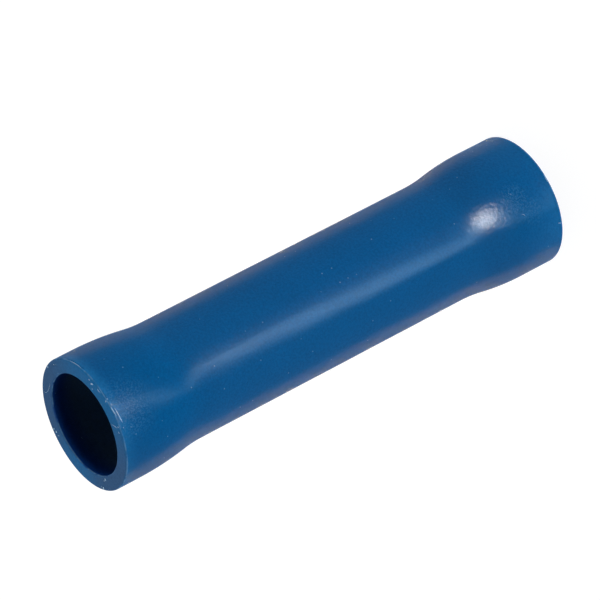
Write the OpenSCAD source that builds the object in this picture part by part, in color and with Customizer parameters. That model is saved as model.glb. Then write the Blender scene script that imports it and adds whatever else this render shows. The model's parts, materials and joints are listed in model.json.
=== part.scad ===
// Insulated butt splice connector, standing on one cut end.
// A flared plastic sleeve holds a metal crimp barrel with a wire stop rolled into its middle.
// Millimetres, +Z along the common axis, origin at the centre of the lower cut end.

/* [Insulating sleeve] */
// Inner diameter of each mouth, wide enough for the wire's own insulation
mouth_id = 4.9; // [4.4:0.05:6.5]
// Wall of the sleeve at its mouths, where it has been stretched
mouth_wall = 0.73; // [0.4:0.01:1.2]
// Wall of the sleeve along its waist, over the barrel
waist_wall = 0.82; // [0.4:0.01:1.5]
// Straight length of the upper mouth, from its cut end
upper_straight = 1.25; // [0.5:0.05:5]
// Length of the curved neck between the upper mouth and the waist
upper_neck = 3.6; // [2.2:0.05:6]
// Length of the upper neck's hollow knee, next to the waist; the rest is its round shoulder
upper_knee = 1.1; // [0.4:0.05:1.8]
// Straight length of the lower mouth, from its cut end
lower_straight = 1.75; // [0.5:0.05:5]
// Length of the curved neck between the lower mouth and the waist
lower_neck = 3.5; // [2.2:0.05:6]
// Length of the lower neck's hollow knee, next to the waist; the rest is its round shoulder
lower_knee = 1.35; // [0.4:0.05:1.8]
// Rounding of the edges at both cut ends
rim_round = 0.08; // [0.02:0.01:0.18]

/* [Crimp barrel] */
// Length of the barrel
barrel_length = 14.8; // [12:0.1:24]
// Bore of the barrel, which takes the bare strands
barrel_bore = 2.3; // [1.6:0.05:3]
// Wall of the barrel
barrel_wall = 0.9; // [0.5:0.05:1.2]
// Size of the countersink that guides the strands into each end of the bore
bore_lead = 0.25; // [0.05:0.05:0.4]
// Size of the broken edge round the outside of each end
end_chamfer = 0.1; // [0.05:0.05:0.25]
// How far the wire stop stands into the bore
stop_height = 0.55; // [0.2:0.05:0.75]
// Length of the rolled groove that forms the wire stop
stop_width = 2.4; // [1.2:0.1:4]

/* [Grip grooves] */
// Number of grip grooves inside each half of the barrel
groove_count = 3; // [1:1:5]
// Distance from one grip groove to the next
groove_pitch = 1.2; // [0.6:0.05:1.3]
// Width of a grip groove at the wall of the bore
groove_width = 0.36; // [0.1:0.02:0.48]
// Depth of a grip groove
groove_depth = 0.12; // [0.04:0.01:0.3]

/* [Fit] */
// Gap all round between the barrel and the waist of the sleeve
fit_gap = 0.01; // [0:0.01:0.1]
// Length of straight waist beyond each end of the barrel
waist_overrun = 0.05; // [0:0.05:1]

/* [Hidden] */

// Fineness of round shapes and of the curves drawn in profile
$fn = 96;
rim_steps = 4;
neck_steps = 18;
stop_steps = 20;

// Radii of the barrel
bore_r = barrel_bore / 2;
barrel_r = bore_r + barrel_wall;

// Radii of the sleeve
mouth_inner_r = mouth_id / 2;
mouth_outer_r = mouth_inner_r + mouth_wall;
waist_inner_r = barrel_r + fit_gap;
waist_outer_r = waist_inner_r + waist_wall;

// Places along the axis
waist_length = barrel_length + 2 * waist_overrun;
waist_bottom = lower_straight + lower_neck;
sleeve_length = waist_bottom + waist_length + upper_neck + upper_straight;
barrel_middle = waist_bottom + waist_length / 2;

// Straight bore in each half of the barrel, between the countersink and the wire stop
bore_start = stop_width / 2;
bore_end = barrel_length / 2 - bore_lead;
groove_span = (groove_count - 1) * groove_pitch;

// Share of a neck's rise at a distance from the waist: the knee bends away from the axis, and the
// shoulder bends back to it, from the slope that the knee ends with
function neck_rise(from_waist, neck, knee) =
    from_waist < knee
        ? pow(from_waist, 2) / (knee * neck)
        : 1 - pow(neck - from_waist, 2) / ((neck - knee) * neck);

function reversed(points) = [for (i = [len(points) - 1 : -1 : 0]) points[i]];

// One side of a mouth and its neck as [radius, depth] points, from the cut end to the waist.
// The side is 1 for the outer surface and -1 for the bore, and sets which way the rim is rounded.
function mouth_side(mouth_r, waist_r, straight, neck, knee, side) = concat(
    [for (i = [0 : rim_steps])
        let (turn = 90 * i / rim_steps)
        [mouth_r - side * rim_round * (1 - sin(turn)), rim_round * (1 - cos(turn))]],
    [for (i = [0 : neck_steps])
        let (
            from_waist = neck * (1 - i / neck_steps),
            rise = (mouth_r - waist_r) * neck_rise(from_waist, neck, knee)
        )
        [waist_r + rise, straight + neck - from_waist]]
);

function lower_side(mouth_r, waist_r, side) =
    mouth_side(mouth_r, waist_r, lower_straight, lower_neck, lower_knee, side);

function upper_side(mouth_r, waist_r, side) = [
    for (p = mouth_side(mouth_r, waist_r, upper_straight, upper_neck, upper_knee, side))
        [p[0], sleeve_length - p[1]]
];

// Insulating sleeve: a tube stretched to a mouth at each end
module insulating_sleeve() {
    color("#10568f")
        rotate_extrude()
            polygon(concat(
                lower_side(mouth_outer_r, waist_outer_r, 1),
                reversed(upper_side(mouth_outer_r, waist_outer_r, 1)),
                upper_side(mouth_inner_r, waist_inner_r, -1),
                reversed(lower_side(mouth_inner_r, waist_inner_r, -1))
            ));
}

// The rolled groove as [radius, height] points: the whole wall bends towards the axis
function stop_curve(wall_r) = [
    for (i = [0 : stop_steps])
        let (t = i / stop_steps)
        [wall_r - stop_height * (1 - cos(360 * t)) / 2, stop_width * (t - 0.5)]
];

// The wall of the barrel in section, about the middle of its length
module barrel_section() {
    half = barrel_length / 2;
    polygon(concat(
        [[barrel_r - end_chamfer, -half], [barrel_r, end_chamfer - half]],
        stop_curve(barrel_r),
        [[barrel_r, half - end_chamfer], [barrel_r - end_chamfer, half]],
        [[bore_r + bore_lead, half], [bore_r, bore_end]],
        reversed(stop_curve(bore_r)),
        [[bore_r, -bore_end], [bore_r + bore_lead, -half]]
    ));
}

// One V-shaped grip groove round the bore
module grip_groove() {
    rotate_extrude()
        polygon([
            [bore_r - groove_depth, -groove_width],
            [bore_r + groove_depth, 0],
            [bore_r - groove_depth, groove_width]
        ]);
}

// The grip grooves of one half, spaced about the middle of its straight bore
module grip_grooves() {
    first = (bore_start + bore_end - groove_span) / 2;
    for (i = [0 : groove_count - 1])
        translate([0, 0, first + i * groove_pitch])
            grip_groove();
}

// Crimp barrel: a metal tube with a wire stop rolled into its middle
module crimp_barrel() {
    color("#c6cacd")
        translate([0, 0, barrel_middle])
            difference() {
                rotate_extrude()
                    barrel_section();
                grip_grooves();
                mirror([0, 0, 1])
                    grip_grooves();
            }
}

insulating_sleeve();
crimp_barrel();
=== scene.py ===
"""Looks of an insulated butt splice connector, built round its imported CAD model, in metres."""

import json
import math

import bpy
from mathutils import Matrix, Vector


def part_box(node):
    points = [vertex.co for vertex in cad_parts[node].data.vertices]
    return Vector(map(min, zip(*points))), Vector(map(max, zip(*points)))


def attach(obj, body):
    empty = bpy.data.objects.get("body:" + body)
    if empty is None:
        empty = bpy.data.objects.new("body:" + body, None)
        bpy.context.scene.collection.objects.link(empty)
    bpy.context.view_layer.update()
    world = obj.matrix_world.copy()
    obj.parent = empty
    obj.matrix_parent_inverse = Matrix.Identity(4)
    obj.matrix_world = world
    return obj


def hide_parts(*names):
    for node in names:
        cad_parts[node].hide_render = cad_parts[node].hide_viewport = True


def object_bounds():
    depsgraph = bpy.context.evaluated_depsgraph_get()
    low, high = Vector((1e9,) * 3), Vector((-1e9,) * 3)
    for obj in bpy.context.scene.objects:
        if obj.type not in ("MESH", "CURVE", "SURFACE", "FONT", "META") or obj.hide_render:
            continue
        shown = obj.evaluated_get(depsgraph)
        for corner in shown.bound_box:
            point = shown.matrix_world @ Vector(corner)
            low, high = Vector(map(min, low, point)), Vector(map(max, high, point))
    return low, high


MM = 0.001
MICRON = 0.001 * MM
WHITE = (1, 1, 1)


# Nodes, objects and places

def fill(tree, node, inputs):
    """Fills a node's inputs with values or with the outputs of other nodes."""
    for key, value in inputs.items():
        if isinstance(value, bpy.types.NodeSocket):
            tree.links.new(value, node.inputs[key])
        else:
            node.inputs[key].default_value = value


def add(tree, kind, inputs=None, **settings):
    """Adds a node to a tree, sets its properties and fills its inputs."""
    node = tree.nodes.new(kind)
    for name, value in settings.items():
        setattr(node, name, value)
    fill(tree, node, inputs or {})
    return node


def maths(tree, operation, first, second=0.0):
    return add(tree, "ShaderNodeMath", {0: first, 1: second}, operation=operation).outputs[0]


def vector_maths(tree, operation, first, second=(0, 0, 0)):
    """The outputs Vector and Value, of which an operation fills one."""
    return add(tree, "ShaderNodeVectorMath", {0: first, 1: second}, operation=operation).outputs


def scaled(tree, vector, factor):
    """A vector times a number."""
    node = add(tree, "ShaderNodeVectorMath", {0: vector, "Scale": factor}, operation="SCALE")
    return node.outputs["Vector"]


def split(tree, vector):
    """The outputs X, Y and Z of a vector."""
    return add(tree, "ShaderNodeSeparateXYZ", {0: vector}).outputs


def ramp(tree, value, start, end, low=0.0, high=1.0):
    """Goes smoothly from low to high as the value goes from start to end."""
    spread = {"Value": value, "From Min": start, "From Max": end, "To Min": low, "To Max": high}
    return add(tree, "ShaderNodeMapRange", spread, interpolation_type="SMOOTHSTEP").outputs["Result"]


def blend(tree, share, first, second):
    """A colour that goes from first to second as the share goes from 0 to 1."""
    node = add(tree, "ShaderNodeMix", {"Factor": share}, data_type="RGBA")
    for socket, colour in ((node.inputs[6], first), (node.inputs[7], second)):
        if isinstance(colour, bpy.types.NodeSocket):
            tree.links.new(colour, socket)
        else:
            socket.default_value = (*colour, 1.0)
    return node.outputs[2]


def noise(tree, vector, size, detail=2.0, roughness=0.5):
    """Noise whose patches are about the given size across."""
    values = {"Vector": vector, "Scale": 1 / size, "Detail": detail, "Roughness": roughness}
    return add(tree, "ShaderNodeTexNoise", values).outputs["Fac"]


def place(data, name):
    """Puts a new object with the given mesh, lamp or camera into the scene."""
    piece = bpy.data.objects.new(name, data)
    bpy.context.scene.collection.objects.link(piece)
    return piece


def around_axis(azimuth, radius, height):
    """The point at an azimuth from the front in degrees, a radius from the axis and a height."""
    turn = math.radians(azimuth)
    return Vector((radius * math.sin(turn), -radius * math.cos(turn), height))


def toward(azimuth, elevation):
    """The direction at an azimuth from the front, positive to the +X side, and an elevation, in degrees."""
    lift = math.radians(elevation)
    return around_axis(azimuth, math.cos(lift), math.sin(lift))


# Camera

# The photograph's view: the part's axis leans towards the camera and rises across the picture
IMAGE_PIXELS = 600
PART_MIDDLE_PIXEL = (306.4, 309.7)
PIXELS_PER_METRE = 22238
AXIS_TO_SIGHT = math.radians(62.14)
AXIS_RISE = math.radians(27.36)
VIEW_DISTANCE = 207.35 * MM
SENSOR_WIDTH = 36.0
NEAREST_SEEN = 10 * MM
FURTHEST_SEEN = 10.0


def photo_camera(length):
    """The camera that sees the part as the photograph does, from its front, the -Y side."""
    up_axis = Vector((
        -math.sin(AXIS_TO_SIGHT) * math.cos(AXIS_RISE),
        -math.sin(AXIS_TO_SIGHT) * math.sin(AXIS_RISE),
        math.cos(AXIS_TO_SIGHT),
    ))
    sight = Vector((0, 0, -1))
    away = (sight - sight.dot(up_axis) * up_axis).normalized()
    across = away.cross(up_axis)
    part_to_camera = Matrix((across, away, up_axis)).transposed()
    offset = [pixel - IMAGE_PIXELS / 2 for pixel in PART_MIDDLE_PIXEL]
    middle = Vector((offset[0] / PIXELS_PER_METRE, -offset[1] / PIXELS_PER_METRE, -VIEW_DISTANCE))
    origin = middle - part_to_camera @ Vector((0, 0, length / 2))
    camera_to_part = part_to_camera.transposed()
    data = bpy.data.cameras.new("photo_camera")
    data.sensor_width = SENSOR_WIDTH
    data.lens = VIEW_DISTANCE * PIXELS_PER_METRE / IMAGE_PIXELS * SENSOR_WIDTH
    data.clip_start = NEAREST_SEEN
    data.clip_end = FURTHEST_SEEN
    camera = place(data, "photo_camera")
    camera.matrix_world = Matrix.Translation(camera_to_part @ -origin) @ camera_to_part.to_4x4()
    bpy.context.scene.camera = camera


# Studio

# Half the floor's width, its own colour, and how white it glows to the camera
FLOOR_HALF = 1.5
FLOOR_PALE = (0.2, 0.2, 0.2)
FLOOR_WHITE = 0.94

# A ring of light at table height, as the sines of the elevations where it begins and ends
RING_BOTTOM = math.sin(math.radians(-2))
RING_TOP = math.sin(math.radians(7))
RING_STRENGTH = 8.0
STRENGTH_ABOVE = 0.03
# Azimuth of the ring's brighter side, and the shares of its light on the dim and the bright side
BRIGHT_SIDE = -35
SIDE_SHARES = (0.45, 1.1)

# Points on the front of the sleeve that the highlight lamps aim at, and the colours of their light
LOWER_SHOULDER = (0, -3 * MM, 3.8 * MM)
WAIST_FRONT = (0, -3 * MM, 9.9 * MM)
SKY_BLUE = (0.37, 0.68, 1.0)
WARM = (1.0, 0.8, 0.5)


def seen_directly(tree):
    """1 for a ray from the camera, or one that a shiny or clear surface passes on, and 0 for the rest."""
    path = add(tree, "ShaderNodeLightPath").outputs
    shiny = maths(tree, "MAXIMUM", path["Is Glossy Ray"], path["Is Transmission Ray"])
    return maths(tree, "MAXIMUM", path["Is Camera Ray"], shiny)


def studio_world():
    """A white surround whose light comes from low down, so that the mouth stays dark."""
    world = bpy.data.worlds.new("studio")
    bpy.context.scene.world = world
    world.use_nodes = True
    tree = world.node_tree
    tree.nodes.clear()
    direction = add(tree, "ShaderNodeTexCoord").outputs["Generated"]
    upward = split(tree, direction)["Z"]
    rising = ramp(tree, upward, RING_BOTTOM, 0.0, 0.0, RING_STRENGTH)
    ring = ramp(tree, upward, 0.0, RING_TOP, rising, STRENGTH_ABOVE)
    facing = vector_maths(tree, "DOT_PRODUCT", direction, toward(BRIGHT_SIDE, 0))["Value"]
    strength = maths(tree, "MULTIPLY", ring, ramp(tree, facing, -1.0, 1.0, *SIDE_SHARES))
    light = add(tree, "ShaderNodeBackground", {"Color": (*WHITE, 1), "Strength": strength})
    white = add(tree, "ShaderNodeBackground", {"Color": (*WHITE, 1), "Strength": 1.0})
    either = {0: seen_directly(tree), 1: light.outputs[0], 2: white.outputs[0]}
    mix = add(tree, "ShaderNodeMixShader", either)
    add(tree, "ShaderNodeOutputWorld", {"Surface": mix.outputs[0]})


def pale_floor():
    """A plain white floor that takes the part's shadow and lets light from below through."""
    mesh = bpy.data.meshes.new("floor")
    corners = [(x * FLOOR_HALF, y * FLOOR_HALF, 0) for x, y in ((-1, -1), (1, -1), (1, 1), (-1, 1))]
    mesh.from_pydata(corners, [], [(0, 1, 2, 3)])
    floor = place(mesh, "floor")
    material = bpy.data.materials.new("floor_paper")
    material.use_nodes = True
    tree = material.node_tree
    tree.nodes.clear()
    paper = add(tree, "ShaderNodeBsdfDiffuse", {"Color": (*FLOOR_PALE, 1)})
    white = maths(tree, "MULTIPLY", seen_directly(tree), FLOOR_WHITE)
    glow = add(tree, "ShaderNodeEmission", {"Color": (*WHITE, 1), "Strength": white})
    both = add(tree, "ShaderNodeAddShader", {0: paper.outputs[0], 1: glow.outputs[0]})
    add(tree, "ShaderNodeOutputMaterial", {"Surface": both.outputs[0]})
    mesh.materials.append(material)
    floor.visible_shadow = False


def soft_lamp(name, aim_at, direction, distance, size, brightness, roll=0.0, colour=WHITE):
    """A soft lamp out of the camera's sight, whose power follows the size of its face."""
    data = bpy.data.lights.new(name, "AREA")
    data.color = colour
    data.shape = "RECTANGLE"
    data.size, data.size_y = size
    data.energy = brightness * math.pi * size[0] * size[1]
    lamp = place(data, name)
    turn = (-direction).to_track_quat("-Z", "Y").to_matrix().to_4x4()
    spin = Matrix.Rotation(math.radians(roll), 4, "Z")
    lamp.matrix_world = Matrix.Translation(Vector(aim_at) + distance * direction) @ turn @ spin
    lamp.visible_camera = False
    return lamp


def lamp_below_floor(name, **settings):
    """A soft lamp that shines up through the floor.

    Its light is sampled only from the lamp, because a ray sent out from the part would end on the floor."""
    lamp = soft_lamp(name, **settings)
    lamp.data.cycles.use_multiple_importance_sampling = False
    return lamp


def studio_lamps(length):
    """Two lamps for soft light, above and below the floor, and four below it that only make highlights."""
    top = soft_lamp(
        "top_lamp", aim_at=(0, 0, length), direction=toward(180, 70), distance=250 * MM,
        size=(200 * MM, 200 * MM), brightness=3.5,
    )
    table = lamp_below_floor(
        "table_lamp", aim_at=(0, 0, 0), direction=toward(5, -78), distance=160 * MM,
        size=(700 * MM, 700 * MM), brightness=1.3,
    )
    for lamp in (top, table):
        lamp.visible_glossy = False

    spark = lamp_below_floor(
        "neck_lamp", aim_at=LOWER_SHOULDER, direction=toward(-3.1, -9.4), distance=400 * MM,
        size=(240 * MM, 74 * MM), brightness=104.0,
    )
    spark.data.shape = "ELLIPSE"
    band = lamp_below_floor(
        "waist_lamp", aim_at=WAIST_FRONT, direction=toward(-15.6, -26), distance=68 * MM,
        size=(40 * MM, 12 * MM), brightness=25.0, roll=28, colour=SKY_BLUE,
    )
    rims = [
        lamp_below_floor(
            name, aim_at=WAIST_FRONT, direction=toward(azimuth, -28), distance=120 * MM,
            size=(90 * MM, 60 * MM), brightness=brightness, colour=WARM,
        )
        for name, azimuth, brightness in (("left_rim_lamp", -138, 1.3), ("right_rim_lamp", 138, 0.9))
    ]
    for lamp in (spark, band, *rims):
        lamp.visible_diffuse = False


# Finishes

VINYL_DEEP = (0.0004, 0.078, 0.235)
VINYL_LIGHT = (0.0004, 0.094, 0.282)
# Paler blue painted next to the cuts, as a glow of light let through the thin vinyl
VINYL_RIM_GLOW = (0.008, 0.14, 0.37)
# Paler line along the cut edges, partly wear and partly a painted highlight
VINYL_EDGE_WEAR_AND_HIGHLIGHT = (0.09, 0.24, 0.44)
VINYL_CUT_GREY = (0.03, 0.107, 0.255)
# Bright blue painted on the cut face where light glows through the thin vinyl
VINYL_CUT_GLOW_BLUE = (0.006, 0.15, 0.39)
# The bore is painted: a deeper blue near the mouth for light bounced inside it, and a greyer tone deeper in
# for the shade there
VINYL_LIP_BOUNCE_BLUE = (0.004, 0.05, 0.25)
VINYL_BORE_SHADE_GREY = (0.06, 0.12, 0.2)
# Pale frost specks of rubbed vinyl, which on the front of the mouths also paint the sparkle of the
# highlight
VINYL_FROST_AND_SPARKLE = (0.05, 0.19, 0.4)
VINYL_SPECK = (0.16, 0.34, 0.5)

# Sizes of what makes the vinyl uneven
CLOUD_SIZE = 2.4 * MM
MOTTLE_SIZE = 0.45 * MM
CRINKLE_SIZE = 0.15 * MM
GRAIN_SIZE = 0.1 * MM
FROST_AND_SPARKLE_SIZE = 0.075 * MM
DUST_SIZE = 0.08 * MM
DUST_SPACING = 0.36 * MM
DUST_STRENGTH = 0.45

# Zones of the sleeve near a cut, as a range of depths from the cut and the shares at its ends
CUT_FACE = (0.0, 0.04 * MM, 1.0, 0.0)
EDGE_START = (0.0, 0.03 * MM, 0.0, 1.0)
EDGE_END = (0.05 * MM, 0.1 * MM, 1.0, 0.0)
# Where the painted glow of light through the thin vinyl lies, next to the upper and the lower cut
UPPER_RIM_GLOW = (0.05 * MM, 0.8 * MM, 1.0, 0.0)
LOWER_RIM_GLOW = (0.1 * MM, 2.4 * MM, 0.55, 0.0)
# Depths over which the painted bounce light of the bore gives way to its painted shade
BORE_BOUNCE_TO_SHADE = (0.4 * MM, 1.4 * MM, 0.0, 1.0)

# What a noise or the strength of a patch does, as a range of its values and the results at its ends
# How unevenly the painted rim glow lies
RIM_GLOW_MOTTLE = (0.3, 0.7, 0.7, 1.0)
# How much the glow patches strengthen the painted rim glow
RIM_GLOW_BOOST = (0.0, 1.0, 0.45, 1.1)
# How the paler edge line, partly wear and partly painted highlight, breaks up
EDGE_WEAR_AND_HIGHLIGHT = (0.35, 0.55, 0.1, 0.8)
# Share of the pale specks, both rub and painted sparkle, in a rubbed patch
FROST_AND_SPARKLE_SHARE = (0.46, 0.62, 0.0, 0.8)
GRAIN_SHADE = (0.25, 0.75, 0.88, 1.12)
DUST_SHARE = (0.0, 0.5, 0.18, 0.9)
VINYL_ROUGHNESS = (0.2, 0.8, 0.4, 0.5)
CUT_ROUGHNESS = 0.62

# Depths of the crinkles in microns, as a range of heights and the depths at its ends
MOUTH_CRINKLES = (6.0 * MM, 20.0 * MM, 14.0, 7.0)
WAIST_CRINKLES = (8.0 * MM, 18.0 * MM, 5.0, 8.0)
RUBBED_CRINKLES = 6.0

# Depths from the nearer cut over which a mouth passes into the waist
MOUTH_TO_WAIST = (3.2 * MM, 6.0 * MM)
# Depths from the top over which the upper end passes into the lower one
UPPER_TO_LOWER = (3.0 * MM, 20.0 * MM)

# Patches rubbed dull and pale, as (azimuth in degrees, height and reach in mm, strength); on the front of
# the mouths their pale specks are also a painted sparkle of the highlight
RUBS_AND_SPARKLES = (
    (-3, 24.2, 1.9, 0.55), (2, 2.1, 1.1, 0.4), (-14, 1.5, 1.0, 0.3),
    (140, 22.6, 1.4, 0.9), (-115, 2.1, 1.6, 0.8), (80, 1.4, 1.1, 0.7), (170, 3.0, 1.2, 0.8),
)
# Stretches of the rims where the painted glow of light through the thin vinyl is strongest, on the outside
# and on the cut face, in the same terms
GLOW_PATCHES = ((22, 24.8, 4.4, 1.0), (-28, 0.5, 2.4, 1.0), (-150, 24.6, 2.4, 0.8), (125, 0.6, 2.6, 0.9))
# Patches of the mouths that have lost part of their gloss, in the same terms
DULLED = ((-6, 22.4, 3.6, 0.58), (-6, 1.7, 2.0, 0.6))
COAT_GLOSS = 0.15
COAT_ROUGHNESS = 0.2

# Shares of a patch's reach and of a speck's radius that keep their full strength
PATCH_CORE = 0.2
SPECK_CORE = 0.6

# Whitened vinyl, whose pale colour also paints glints along the edges
WHITENED_AND_GLINT_BLUE = (0.22, 0.44, 0.66)
WHITENED_AND_GLINT_PALE = (0.5, 0.68, 0.82)
WHITENED_SIZE = 0.08 * MM
WHITENED_ROUGHNESS = (0.3, 0.7, 0.45, 0.65)
WHITENED_SPECULAR = 0.2

TIN_DARK = (0.5, 0.5, 0.5)
TIN_LIGHT = (0.66, 0.66, 0.65)
TIN_CLOUD_SIZE = 1.1 * MM
TIN_ROUGHNESS = (0.2, 0.8, 0.28, 0.46)
DRAWN_LINE_WIDTH = 0.07 * MM
DRAWN_LINE_DEPTH = 1.5 * MICRON
DRAWN_LINE_STRETCH = (1, 1, 0.08)


def new_material(name):
    material = bpy.data.materials.new(name)
    material.use_nodes = True
    return material, material.node_tree, material.node_tree.nodes["Principled BSDF"]


def object_spot(tree):
    return add(tree, "ShaderNodeTexCoord").outputs["Object"]


def attribute(tree, name):
    return add(tree, "ShaderNodeAttribute", attribute_name=name).outputs["Fac"]


def specks(tree, spot, spacing, share, size):
    """1 on small round specks, of which there is one in the given share of the cells, and 0 elsewhere."""
    cells = add(tree, "ShaderNodeTexVoronoi", {"Vector": spot, "Scale": 1 / spacing}).outputs
    chosen = maths(tree, "LESS_THAN", split(tree, cells["Color"])["X"], share)
    radius = size / 2 / spacing
    dot = ramp(tree, cells["Distance"], SPECK_CORE * radius, radius, 1.0, 0.0)
    return maths(tree, "MULTIPLY", chosen, dot)


def patches(tree, spot, radius, places):
    """The strength of each patch in its middle, falling to 0 at its reach."""
    share = 0.0
    for azimuth, height, reach, strength in places:
        middle = around_axis(azimuth, radius, height * MM)
        away = vector_maths(tree, "DISTANCE", spot, middle)["Value"]
        patch = ramp(tree, away, PATCH_CORE * reach * MM, reach * MM, strength, 0.0)
        share = maths(tree, "MAXIMUM", patch, share)
    return share


def painted_rim_glow(tree, from_cut, from_top, bore, mottle, glow_boost):
    """Share of the painted glow, of light let through the thin vinyl, that the outside has next to either
    cut.
    """
    upper = ramp(tree, from_cut, *UPPER_RIM_GLOW)
    lower = ramp(tree, from_cut, *LOWER_RIM_GLOW)
    either = ramp(tree, from_top, *UPPER_TO_LOWER, upper, lower)
    outside = maths(tree, "MAXIMUM", maths(tree, "SUBTRACT", either, bore), 0.0)
    uneven = maths(tree, "MULTIPLY", ramp(tree, glow_boost, *RIM_GLOW_BOOST), ramp(tree, mottle, *RIM_GLOW_MOTTLE))
    return maths(tree, "MULTIPLY", outside, uneven)


def worn_and_highlit_edge(tree, from_cut, mottle):
    """Share of the paler line along the edges of the cuts: partly whitened wear, partly a painted highlight
    where the rounded edges catch light.
    """
    edge = maths(tree, "MULTIPLY", ramp(tree, from_cut, *EDGE_START), ramp(tree, from_cut, *EDGE_END))
    return maths(tree, "MULTIPLY", edge, ramp(tree, mottle, *EDGE_WEAR_AND_HIGHLIGHT))


def vinyl_colour(tree, spot, from_cut, from_top, clouds, cut, rub_and_sparkle, glow_boost):
    """Blue with clouds, grain and specks, which changes in the bore, at the cuts and where it is worn, with
    painted light in it: a glow next to the cuts, highlights along the cut edges, sparkle on the front of
    the mouths, and bounced light and shade in the bore.
    """
    bore = attribute(tree, "bore")
    mottle = noise(tree, spot, MOTTLE_SIZE)
    grain = noise(tree, spot, GRAIN_SIZE, detail=3.0, roughness=0.6)
    frost_and_sparkle_noise = noise(tree, spot, FROST_AND_SPARKLE_SIZE, detail=1.0)

    # Painted bounce light near the mouth and painted shade deeper in the bore
    painted_bore_light = blend(tree, ramp(tree, from_cut, *BORE_BOUNCE_TO_SHADE), VINYL_LIP_BOUNCE_BLUE, VINYL_BORE_SHADE_GREY)
    body = blend(tree, bore, blend(tree, clouds, VINYL_DEEP, VINYL_LIGHT), painted_bore_light)
    # Painted glow of light let through the thin vinyl next to the cuts
    rim = painted_rim_glow(tree, from_cut, from_top, bore, mottle, glow_boost)
    # Pale specks: rubbed vinyl, and on the front of the mouths a painted sparkle of the highlight
    frost_and_sparkle = maths(tree, "MULTIPLY", rub_and_sparkle, ramp(tree, frost_and_sparkle_noise, *FROST_AND_SPARKLE_SHARE))
    frosted_and_sparkled = blend(tree, frost_and_sparkle, blend(tree, rim, body, VINYL_RIM_GLOW), VINYL_FROST_AND_SPARKLE)
    # Paler edge line: partly wear, partly a painted highlight of the rounded edges
    edged = blend(tree, worn_and_highlit_edge(tree, from_cut, mottle), frosted_and_sparkled, VINYL_EDGE_WEAR_AND_HIGHLIGHT)
    # The cut face has its own greyer colour, painted a brighter blue where light glows through it
    faced = blend(tree, cut, edged, blend(tree, glow_boost, VINYL_CUT_GREY, VINYL_CUT_GLOW_BLUE))
    grainy = scaled(tree, faced, ramp(tree, grain, *GRAIN_SHADE))
    dust = specks(tree, spot, DUST_SPACING, ramp(tree, rub_and_sparkle, *DUST_SHARE), DUST_SIZE)
    return blend(tree, maths(tree, "MULTIPLY", dust, DUST_STRENGTH), grainy, VINYL_SPECK)


def vinyl_crinkles(tree, spot, height, from_cut, rub_and_sparkle):
    """Height of the fine crinkles in microns, deepest on the lower mouth and where it is rubbed."""
    mouth = ramp(tree, height, *MOUTH_CRINKLES)
    waist = ramp(tree, height, *WAIST_CRINKLES)
    either = ramp(tree, from_cut, *MOUTH_TO_WAIST, mouth, waist)
    depth = maths(tree, "ADD", either, maths(tree, "MULTIPLY", rub_and_sparkle, RUBBED_CRINKLES))
    return maths(tree, "MULTIPLY", noise(tree, spot, CRINKLE_SIZE), depth)


def vinyl(length, mouth_radius):
    """Satin blue vinyl with crinkles, whose gloss is a thin coat that is partly lost on the mouths."""
    material, tree, shader = new_material("blue_vinyl")
    spot = object_spot(tree)
    height = split(tree, spot)["Z"]
    from_top = maths(tree, "SUBTRACT", length, height)
    from_cut = attribute(tree, "from_cut")
    cut = ramp(tree, from_cut, *CUT_FACE)
    clouds = noise(tree, spot, CLOUD_SIZE, detail=3.0)
    # Rubbed patches, whose pale specks on the front of the mouths are also a painted sparkle
    rub_and_sparkle = patches(tree, spot, mouth_radius, RUBS_AND_SPARKLES)
    # Patches where the painted glow through the thin vinyl is strongest
    glow_boost = patches(tree, spot, mouth_radius, GLOW_PATCHES)
    dulled = patches(tree, spot, mouth_radius, DULLED)

    rough = ramp(tree, clouds, *VINYL_ROUGHNESS)
    crinkles = vinyl_crinkles(tree, spot, height, from_cut, rub_and_sparkle)
    bump = add(tree, "ShaderNodeBump", {"Height": crinkles, "Distance": MICRON}).outputs[0]
    lost_gloss = maths(tree, "MULTIPLY", dulled, COAT_GLOSS)
    fill(tree, shader, {
        "Base Color": vinyl_colour(tree, spot, from_cut, from_top, clouds, cut, rub_and_sparkle, glow_boost),
        "Roughness": maths(tree, "MAXIMUM", rough, maths(tree, "MULTIPLY", cut, CUT_ROUGHNESS)),
        "Normal": bump,
        "Specular IOR Level": 0.0,
        "Coat Weight": maths(tree, "SUBTRACT", COAT_GLOSS, lost_gloss),
        "Coat Roughness": COAT_ROUGHNESS,
        "Coat Normal": bump,
    })
    return material


def whitened_vinyl_and_glints():
    """Vinyl that the cut has torn and stretched until it turned pale; it also paints glints along the edges
    as pale hairs.
    """
    material, tree, shader = new_material("whitened_vinyl_and_glints")
    torn = noise(tree, object_spot(tree), WHITENED_SIZE)
    fill(tree, shader, {
        "Base Color": blend(tree, torn, WHITENED_AND_GLINT_BLUE, WHITENED_AND_GLINT_PALE),
        "Roughness": ramp(tree, torn, *WHITENED_ROUGHNESS),
        "Specular IOR Level": WHITENED_SPECULAR,
    })
    return material


def tin():
    """Dull tin plate with faint drawing lines along the tube."""
    material, tree, shader = new_material("tin_plate")
    spot = object_spot(tree)
    drawn = add(tree, "ShaderNodeMapping", {"Vector": spot, "Scale": DRAWN_LINE_STRETCH}).outputs[0]
    lines = noise(tree, drawn, DRAWN_LINE_WIDTH)
    clouds = noise(tree, spot, TIN_CLOUD_SIZE, detail=3.0)
    bump = add(tree, "ShaderNodeBump", {"Height": lines, "Distance": DRAWN_LINE_DEPTH})
    fill(tree, shader, {
        "Base Color": blend(tree, clouds, TIN_DARK, TIN_LIGHT),
        "Roughness": ramp(tree, lines, *TIN_ROUGHNESS),
        "Normal": bump.outputs[0],
        "Metallic": 1.0,
    })
    return material


# Geometry trees

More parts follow.
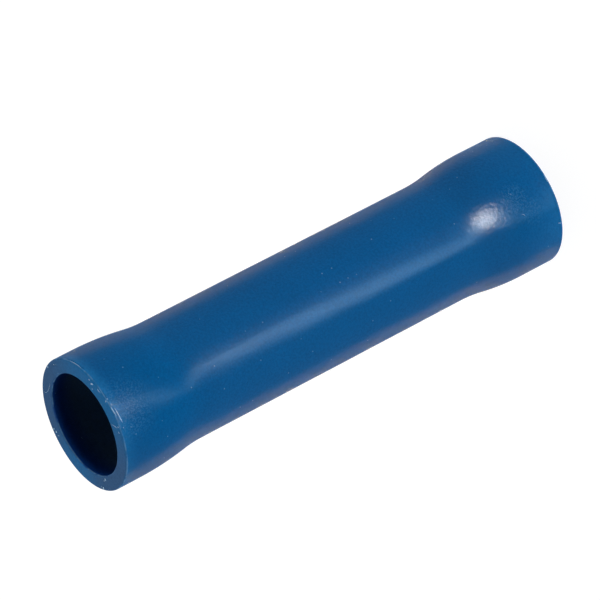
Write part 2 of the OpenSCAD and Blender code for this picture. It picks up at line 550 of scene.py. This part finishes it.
def new_tree(name, inputs):
    """A geometry tree with inputs given as names and kinds, and the sockets that hand their values on."""
    tree = bpy.data.node_groups.new(name, "GeometryNodeTree")
    tree.interface.new_socket("Geometry", in_out="OUTPUT", socket_type="NodeSocketGeometry")
    for label, kind in inputs.items():
        tree.interface.new_socket(label, in_out="INPUT", socket_type="NodeSocket" + kind)
    return tree, add(tree, "NodeGroupInput").outputs


def close_tree(tree, geometry, material):
    """Ends a tree with real, smooth meshes in one material."""
    smooth = add(tree, "GeometryNodeSetShadeSmooth", {"Geometry": geometry})
    real = add(tree, "GeometryNodeRealizeInstances", {0: smooth.outputs[0]})
    done = add(tree, "GeometryNodeSetMaterial", {"Geometry": real.outputs[0], "Material": material})
    add(tree, "NodeGroupOutput", {0: done.outputs[0]})


def point_value(tree, name):
    """The number that each point of a mesh holds under a name."""
    return add(tree, "GeometryNodeInputNamedAttribute", {"Name": name}, data_type="FLOAT").outputs[0]


def moved(tree, geometry, offset):
    return add(tree, "GeometryNodeSetPosition", {"Geometry": geometry, "Offset": offset}).outputs[0]


def pressed_in(tree, geometry, from_axis, depth):
    """Moves points towards the axis by a depth."""
    outward = vector_maths(tree, "NORMALIZE", from_axis)["Vector"]
    return moved(tree, geometry, scaled(tree, outward, maths(tree, "MULTIPLY", depth, -1.0)))


def grown(piece, tree, **values):
    """Runs a geometry tree on a piece, leaves the result as its plain mesh and removes the modifier.

    The values are given under the names of the tree's inputs, in small letters with _ for each space."""
    modifier = piece.modifiers.new(tree.name, "NODES")
    modifier.node_group = tree
    sockets = {item.name: item.identifier for item in tree.interface.items_tree if item.in_out == "INPUT"}
    for name, value in values.items():
        modifier[sockets[name.replace("_", " ").title()]] = value
    bpy.context.view_layer.update()
    graph = bpy.context.evaluated_depsgraph_get()
    mesh = bpy.data.meshes.new_from_object(piece.evaluated_get(graph), depsgraph=graph)
    piece.modifiers.remove(modifier)
    piece.data = mesh


# Sleeve

# Sizes that the frame does not give
RIM_ROUND = 0.08 * MM
LOWER_KNEE = 1.35 * MM
UPPER_KNEE = 1.1 * MM
FIT_GAP = 0.01 * MM
WAIST_WALL = 0.82 * MM
WAIST_OVERRUN = 0.05 * MM
# Room between the mouths and the sides of the CAD box
BOX_ROOM = 0.005 * MM

# The upper cut is not quite square: its slopes along X and Y, and how deep the mouth is skewed with it
CUT_SLOPE = (-0.0196, 0.009)
CUT_DEPTH = 1.2 * MM
# The wall is slightly wavy
WAVE_HEIGHT = 14 * MICRON
WAVE_LENGTH = 3.2 * MM
# Room between the skewed cut and the top of the CAD box, for the crumbs that stand on it
CRUMB_ROOM = 0.03 * MM

# Scores round the upper mouth, as (depth from the cut in mm, start and end azimuth in degrees)
SCORES = ((0.14, -11, 6), (0.08, 3, 22), (0.11, 40, 68))
SCORE_WIDTH = 0.05 * MM
SCORE_DEPTH = 0.03 * MM
# The length of a score's bends, and the turn in degrees over which it runs out at each end
SCORE_BEND = 0.9 * MM
SCORE_RUN_OUT = 5.0
# Depth of wall below a cut whose points are close enough together for the scores
SCORE_ZONE = 0.4 * MM

# Points along each stretch of the section, and round the axis
RIM_STEPS = 6
SCORE_STEPS = 20
MOUTH_STEPS = 10
NECK_STEPS = 30
WAIST_STEPS = 24
CUT_STEPS = 8
AROUND = 240
# Radius of the ring that the section is swept along, far smaller than the part
SWEEP_RADIUS = 1 * MICRON


def neck_rise(from_waist, neck, knee):
    """Share of a neck's rise at a distance from the waist: a hollow knee, then a round shoulder."""
    if from_waist < knee:
        return from_waist ** 2 / (knee * neck)
    return 1 - (neck - from_waist) ** 2 / ((neck - knee) * neck)


def steps(start, end, count):
    """Evenly spaced values from start up to, but not including, end."""
    return [start + (end - start) * i / count for i in range(count)]


def mouth_side(mouth_r, waist_r, straight, neck, knee, side):
    """One side of a mouth and its neck as (radius, depth) points, from the cut end to the waist.

    The side is 1 for the outer surface and -1 for the bore, and sets which way the rim is rounded."""
    turns = steps(0, math.pi / 2, RIM_STEPS)
    rim = [(mouth_r - side * RIM_ROUND * (1 - math.sin(a)), RIM_ROUND * (1 - math.cos(a))) for a in turns]
    depths = steps(RIM_ROUND, SCORE_ZONE, SCORE_STEPS) + steps(SCORE_ZONE, straight, MOUTH_STEPS)
    wall = [(mouth_r, depth) for depth in depths]
    rise = mouth_r - waist_r
    runs = steps(neck, 0, NECK_STEPS)
    curve = [(waist_r + rise * neck_rise(run, neck, knee), straight + neck - run) for run in runs]
    return rim + wall + curve


def sleeve_section(length, mouth, waist, lower, upper):
    """The sleeve's wall in section as (radius, height, is it the bore) points, in order round it.

    mouth and waist are (inner, outer) radii; lower and upper are (straight, neck, knee) lengths."""
    waist_heights = steps(sum(lower[:2]), length - sum(upper[:2]), WAIST_STEPS)
    sides = []
    for mouth_r, waist_r, side in zip(mouth, waist, (-1, 1)):
        low = mouth_side(mouth_r, waist_r, *lower, side)
        middle = [(waist_r, z) for z in waist_heights]
        high = mouth_side(mouth_r, waist_r, *upper, side)
        sides.append(low + middle + [(r, length - depth) for r, depth in reversed(high)])
    inner, outer = sides
    across = steps(inner[-1][0], outer[-1][0], CUT_STEPS)[1:]
    top = [(r, length) for r in across]
    bottom = [(r, 0.0) for r in reversed(across)]
    bore = [(r, z, 1.0) for r, z in inner]
    return bore + [(r, z, 0.0) for r, z in top + list(reversed(outer)) + bottom]


def section_object(name, points):
    """The section as a closed line for the sweep: X is the radius and Y is downwards."""
    mesh = bpy.data.meshes.new(name)
    count = len(points)
    mesh.from_pydata([(r, -z, 0) for r, z, _ in points], [(i, (i + 1) % count) for i in range(count)], [])
    length = max(z for _, z, _ in points)
    from_cut = mesh.attributes.new("from_cut", "FLOAT", "POINT")
    from_cut.data.foreach_set("value", [min(z, length - z) for _, z, _ in points])
    bore = mesh.attributes.new("bore", "FLOAT", "POINT")
    bore.data.foreach_set("value", [share for _, _, share in points])
    return place(mesh, name)


def sweep_tree():
    """Sweeps a section round the axis, skews its upper cut and gives its wall a slight waviness."""
    tree, given = new_tree("swept_tube", {
        "Section": "Geometry", "Length": "Float", "Cut Slope X": "Float", "Cut Slope Y": "Float",
        "Cut Drop": "Float", "Cut Depth": "Float", "Wave Height": "Float", "Wave Length": "Float",
        "Sweep Radius": "Float", "Around": "Int", "Material": "Material",
    })

    # The sleeve's radius is in the section's own points
    around = {"Resolution": given["Around"], "Radius": given["Sweep Radius"]}
    ring = add(tree, "GeometryNodeCurvePrimitiveCircle", around).outputs[0]
    section = add(tree, "GeometryNodeMeshToCurve", {0: given["Section"]}).outputs[0]
    tube = add(tree, "GeometryNodeCurveToMesh", {"Curve": ring, "Profile Curve": section}).outputs[0]

    # The skewed cut only lowers the rim, so that the part keeps its length
    position = add(tree, "GeometryNodeInputPosition").outputs[0]
    axes = split(tree, position)
    start = maths(tree, "SUBTRACT", given["Length"], given["Cut Depth"])
    share = ramp(tree, axes["Z"], start, given["Length"])
    slope_x = maths(tree, "MULTIPLY", axes["X"], given["Cut Slope X"])
    slope_y = maths(tree, "MULTIPLY", axes["Y"], given["Cut Slope Y"])
    skew = maths(tree, "SUBTRACT", maths(tree, "ADD", slope_x, slope_y), given["Cut Drop"])
    drop = add(tree, "ShaderNodeCombineXYZ", {"Z": maths(tree, "MULTIPLY", share, skew)}).outputs[0]
    skewed = moved(tree, tube, drop)

    # Waves only go inwards, so that the part keeps its width
    fineness = maths(tree, "DIVIDE", 1.0, given["Wave Length"])
    wave = add(tree, "ShaderNodeTexNoise", {"Vector": position, "Scale": fineness, "Detail": 1.0})
    from_axis = vector_maths(tree, "MULTIPLY", position, (1, 1, 0))["Vector"]
    depth = maths(tree, "MULTIPLY", wave.outputs["Fac"], given["Wave Height"])
    close_tree(tree, pressed_in(tree, skewed, from_axis, depth), given["Material"])
    return tree


def score_tree():
    """Presses a shallow groove into the wall, along part of a ring near the upper cut."""
    tree, given = new_tree("scored_rim", {
        "Geometry": "Geometry", "Depth": "Float", "Start": "Float", "End": "Float", "Run Out": "Float",
        "Width": "Float", "Press": "Float", "Above": "Float", "Inner Radius": "Float",
        "Material": "Material",
    })
    position = add(tree, "GeometryNodeInputPosition").outputs[0]
    axes = split(tree, position)
    from_axis = vector_maths(tree, "MULTIPLY", position, (1, 1, 0))["Vector"]

    # The groove wanders a little, and runs out at both ends
    wander = maths(tree, "MULTIPLY", noise(tree, position, SCORE_BEND), given["Width"])
    along_wall = maths(tree, "ADD", point_value(tree, "from_cut"), wander)
    away = maths(tree, "ABSOLUTE", maths(tree, "SUBTRACT", along_wall, given["Depth"]))
    across = ramp(tree, away, 0.0, given["Width"], 1.0, 0.0)
    turn = maths(tree, "ARCTAN2", axes["X"], maths(tree, "MULTIPLY", axes["Y"], -1.0))
    degrees = maths(tree, "DEGREES", turn)
    starts = ramp(tree, maths(tree, "SUBTRACT", degrees, given["Start"]), 0.0, given["Run Out"])
    ends = ramp(tree, maths(tree, "SUBTRACT", given["End"], degrees), 0.0, given["Run Out"])
    groove = maths(tree, "MULTIPLY", across, maths(tree, "MULTIPLY", starts, ends))

    # It is only in the outer surface of the upper mouth
    radius = vector_maths(tree, "LENGTH", from_axis)["Value"]
    outside = maths(tree, "GREATER_THAN", radius, given["Inner Radius"])
    upper = maths(tree, "GREATER_THAN", axes["Z"], given["Above"])
    share = maths(tree, "MULTIPLY", groove, maths(tree, "MULTIPLY", outside, upper))
    depth = maths(tree, "MULTIPLY", share, given["Press"])
    close_tree(tree, pressed_in(tree, given["Geometry"], from_axis, depth), given["Material"])
    return tree


def mount(record, name):
    return next(entry for entry in record["mounts"] if entry["name"] == name)


def cut_drop(radius):
    """How far the middle of the skewed cut lies below the part's full length."""
    return math.hypot(*CUT_SLOPE) * radius + CRUMB_ROOM


def sleeve(frame, material):
    """The insulating sleeve, from the sizes of the frame's nodes and mounts."""
    low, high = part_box("insulating_sleeve")
    barrel_low, barrel_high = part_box("crimp_barrel")
    length = high.z - low.z
    record = frame["record"]
    ends = ("lower_mouth", "upper_mouth")
    straight = {end: mount(record, end)["dims"]["length_mm"] * MM + RIM_ROUND for end in ends}
    lower_neck = barrel_low.z - WAIST_OVERRUN - straight["lower_mouth"]
    upper_neck = length - barrel_high.z - WAIST_OVERRUN - straight["upper_mouth"]
    mouth = (mount(record, "upper_mouth")["dims"]["r_mm"] * MM, high.x - BOX_ROOM)
    waist_inner = barrel_high.x + FIT_GAP
    waist = (waist_inner, waist_inner + WAIST_WALL)
    lower = (straight["lower_mouth"], lower_neck, LOWER_KNEE)
    upper = (straight["upper_mouth"], upper_neck, UPPER_KNEE)
    piece = section_object("vinyl_sleeve", sleeve_section(length, mouth, waist, lower, upper))
    grown(
        piece, sweep_tree(), length=length, cut_slope_x=CUT_SLOPE[0], cut_slope_y=CUT_SLOPE[1],
        cut_drop=cut_drop(high.x), cut_depth=CUT_DEPTH, wave_height=WAVE_HEIGHT, wave_length=WAVE_LENGTH,
        sweep_radius=SWEEP_RADIUS, around=AROUND, material=material,
    )
    groove = score_tree()
    middle_radius = (mouth[0] + mouth[1]) / 2
    for depth, start, end in SCORES:
        grown(
            piece, groove, depth=depth * MM, start=float(start), end=float(end), run_out=SCORE_RUN_OUT,
            width=SCORE_WIDTH, press=SCORE_DEPTH, above=length / 2, inner_radius=middle_radius,
            material=material,
        )
    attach(piece, "root")
    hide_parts("insulating_sleeve")


# Shavings and painted glints

# Crumbs of whitened vinyl on the upper cut, as (azimuth in degrees, radius and size in mm)
CRUMBS = (
    (102, 3.06, 0.12), (90, 2.95, 0.07), (29, 2.95, 0.14), (33, 3.02, 0.08), (27, 2.70, 0.06),
    (9, 3.10, 0.08), (-14, 3.10, 0.06), (171, 2.95, 0.10), (174, 2.85, 0.12), (178, 2.82, 0.07),
    (-101, 2.60, 0.12), (-104, 2.66, 0.07), (-110, 3.04, 0.12), (-112, 3.00, 0.07),
)
# Hair-thin shavings and painted glints, as a thickness in mm and points of (azimuth in degrees, radius and
# depth from the upper cut in mm); the hairs from azimuth 22 to 17.5, 4 to -5.5 and 4 to -14 are painted
# glints along the outer edge
UPPER_HAIRS = (
    (0.014, ((135, 3.07, 0), (135, 2.90, 0), (130, 2.70, 0), (124, 2.62, 0), (118, 2.62, 0))),
    (0.020, ((-11, 2.58, 0), (-13, 2.80, 0), (-15, 2.99, 0))),
    (0.020, ((-18, 2.97, 0), (-20, 3.04, 0))),
    (0.030, ((22, 3.06, 0), (17.5, 3.07, 0))),
    (0.036, ((4, 3.152, 0.045), (0, 3.156, 0.065), (-5.5, 3.158, 0.09))),
    (0.034, ((4, 3.16, 0.17), (-3, 3.16, 0.205), (-10, 3.16, 0.235), (-14, 3.16, 0.26))),
    (0.050, ((10.6, 3.15, 0.085), (9.4, 3.15, 0.105))),
    (0.045, ((-15.4, 3.152, 0.19), (-16.4, 3.152, 0.21))),
    (0.026, ((64, 3.155, 0.04), (55, 3.16, 0.06), (46, 3.155, 0.07))),
    (0.016, ((-176, 2.452, 0.27), (-176.5, 2.452, 0.46))),
    (0.018, ((-171, 2.452, 0.75), (-167, 2.452, 0.80))),
    (0.016, ((-156, 2.452, 0.07), (-155, 2.452, 0.25), (-156.5, 2.452, 0.49))),
)
# The same at the lower end, with the height above the lower cut; the first is a painted glint of the lower
# edge
LOWER_HAIRS = (
    (0.032, ((11, 3.156, 0.05), (5, 3.16, 0.08), (-1, 3.156, 0.05))),
    (0.022, ((-34, 3.164, 0.28), (-35, 3.164, 0.16), (-36, 3.16, 0.06))),
    (0.014, ((-12, 3.166, 2.05), (-13, 3.166, 1.95), (-15, 3.166, 1.90))),
)

# How finely a crumb's ball is divided, how close its lumps are and how far they stand out
CRUMB_FINENESS = 3
CRUMB_LUMPS = 2.2
CRUMB_RAGGEDNESS = 0.9
# A crumb's extent along each axis as a share of its size, and the most that it turns about each axis
CRUMB_SHAPE = (1.0, 0.7, 0.4)
CRUMB_TURN = (0.3, 0.3, 2 * math.pi)
CRUMB_SEED = 4

# Points along a hair and round it
HAIR_STEPS = 24
HAIR_SIDES = 6
# Share of a hair's thickness that is left at its ends, and where it thins, as shares of its length
# from its middle
HAIR_TIP = 0.3
HAIR_TAPER = (0.2, 0.5)


def ragged_crumb(tree, raggedness):
    """A lumpy ball about 1 across."""
    ball = add(tree, "GeometryNodeMeshIcoSphere", {"Radius": 0.5, "Subdivisions": CRUMB_FINENESS})
    position = add(tree, "GeometryNodeInputPosition").outputs[0]
    lumps = add(tree, "ShaderNodeTexNoise", {"Vector": position, "Scale": CRUMB_LUMPS, "Detail": 2.0})
    centred = vector_maths(tree, "SUBTRACT", lumps.outputs["Color"], (0.5, 0.5, 0.5))["Vector"]
    return moved(tree, ball.outputs[0], scaled(tree, centred, raggedness))


def shavings_and_glints_tree():
    """Puts a ragged crumb on each point that has a size, and makes each line of edges a hair."""
    tree, given = new_tree("cut_shavings_and_glints", {
        "Geometry": "Geometry", "Hair Tip": "Float", "Raggedness": "Float", "Seed": "Int",
        "Material": "Material",
    })
    size = point_value(tree, "size")
    any_turn = {1: CRUMB_TURN, "Seed": given["Seed"]}
    turn = add(tree, "FunctionNodeRandomValue", any_turn, data_type="FLOAT_VECTOR")
    crumbs = add(tree, "GeometryNodeInstanceOnPoints", {
        "Points": given["Geometry"], "Selection": maths(tree, "GREATER_THAN", size, 0.0),
        "Instance": ragged_crumb(tree, given["Raggedness"]), "Rotation": turn.outputs[0],
        "Scale": scaled(tree, CRUMB_SHAPE, size),
    })

    lines = add(tree, "GeometryNodeMeshToCurve", {0: given["Geometry"]})
    bent = add(tree, "GeometryNodeCurveSplineType", {0: lines.outputs[0]}, spline_type="CATMULL_ROM")
    fine = add(tree, "GeometryNodeResampleCurve", {"Curve": bent.outputs[0], "Count": HAIR_STEPS})
    along = add(tree, "GeometryNodeSplineParameter").outputs["Factor"]
    from_middle = maths(tree, "ABSOLUTE", maths(tree, "SUBTRACT", along, 0.5))
    taper = ramp(tree, from_middle, *HAIR_TAPER, 1.0, given["Hair Tip"])
    wire = add(tree, "GeometryNodeCurvePrimitiveCircle", {"Resolution": HAIR_SIDES, "Radius": 0.5})
    hairs = add(tree, "GeometryNodeCurveToMesh", {
        "Curve": fine.outputs[0], "Profile Curve": wire.outputs[0],
        "Scale": maths(tree, "MULTIPLY", point_value(tree, "thickness"), taper), "Fill Caps": True,
    })

    both = add(tree, "GeometryNodeJoinGeometry")
    for pale_bit in (crumbs, hairs):
        tree.links.new(pale_bit.outputs[0], both.inputs[0])
    close_tree(tree, both.outputs[0], given["Material"])
    return tree


def below_cut(azimuth, radius, depth, length, drop):
    """The point at a depth below the skewed upper cut."""
    point = around_axis(azimuth, radius, length - drop - depth)
    point.z += CUT_SLOPE[0] * point.x + CUT_SLOPE[1] * point.y
    return point


def shavings_and_glints(length, mouth_radius, material):
    """Crumbs of torn vinyl that cling to the upper cut, and hairs of it at both ends, of which some are
    painted glints along the edges.
    """
    drop = cut_drop(mouth_radius)
    points = [below_cut(azimuth, radius * MM, 0.0, length, drop) for azimuth, radius, _ in CRUMBS]
    sizes = [size * MM for _, _, size in CRUMBS]
    hairs = []
    for thickness, route in UPPER_HAIRS:
        path = [below_cut(turn, radius * MM, depth * MM, length, drop) for turn, radius, depth in route]
        hairs.append((thickness, path))
    for thickness, route in LOWER_HAIRS:
        path = [around_axis(turn, radius * MM, height * MM) for turn, radius, height in route]
        hairs.append((thickness, path))
    edges = []
    thick = [0.0] * len(points)
    for thickness, path in hairs:
        first = len(points)
        points += path
        sizes += [0.0] * len(path)
        thick += [thickness * MM] * len(path)
        edges += [(i, i + 1) for i in range(first, len(points) - 1)]
    mesh = bpy.data.meshes.new("cut_shavings_and_glints")
    mesh.from_pydata(points, edges, [])
    mesh.attributes.new("size", "FLOAT", "POINT").data.foreach_set("value", sizes)
    mesh.attributes.new("thickness", "FLOAT", "POINT").data.foreach_set("value", thick)
    piece = place(mesh, "cut_shavings_and_glints")
    grown(
        piece, shavings_and_glints_tree(), hair_tip=HAIR_TIP, raggedness=CRUMB_RAGGEDNESS, seed=CRUMB_SEED,
        material=material,
    )
    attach(piece, "root")


# Build

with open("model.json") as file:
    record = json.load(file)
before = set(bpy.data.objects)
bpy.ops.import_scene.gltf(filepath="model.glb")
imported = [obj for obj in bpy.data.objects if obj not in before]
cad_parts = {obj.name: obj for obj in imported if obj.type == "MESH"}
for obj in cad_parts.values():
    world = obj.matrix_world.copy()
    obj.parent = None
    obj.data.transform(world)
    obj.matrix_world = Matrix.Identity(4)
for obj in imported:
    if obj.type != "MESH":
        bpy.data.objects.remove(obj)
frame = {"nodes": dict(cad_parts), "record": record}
cad_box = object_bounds()
part_length = cad_box[1].z
mouth_radius = cad_box[1].x
photo_camera(part_length)
studio_world()
pale_floor()
studio_lamps(part_length)

sleeve(frame, vinyl(part_length, mouth_radius))
shavings_and_glints(part_length, mouth_radius, whitened_vinyl_and_glints())
barrel = frame["nodes"]["crimp_barrel"]
barrel.data.materials.clear()
barrel.data.materials.append(tin())

bpy.context.scene.view_settings.view_transform = "Standard"
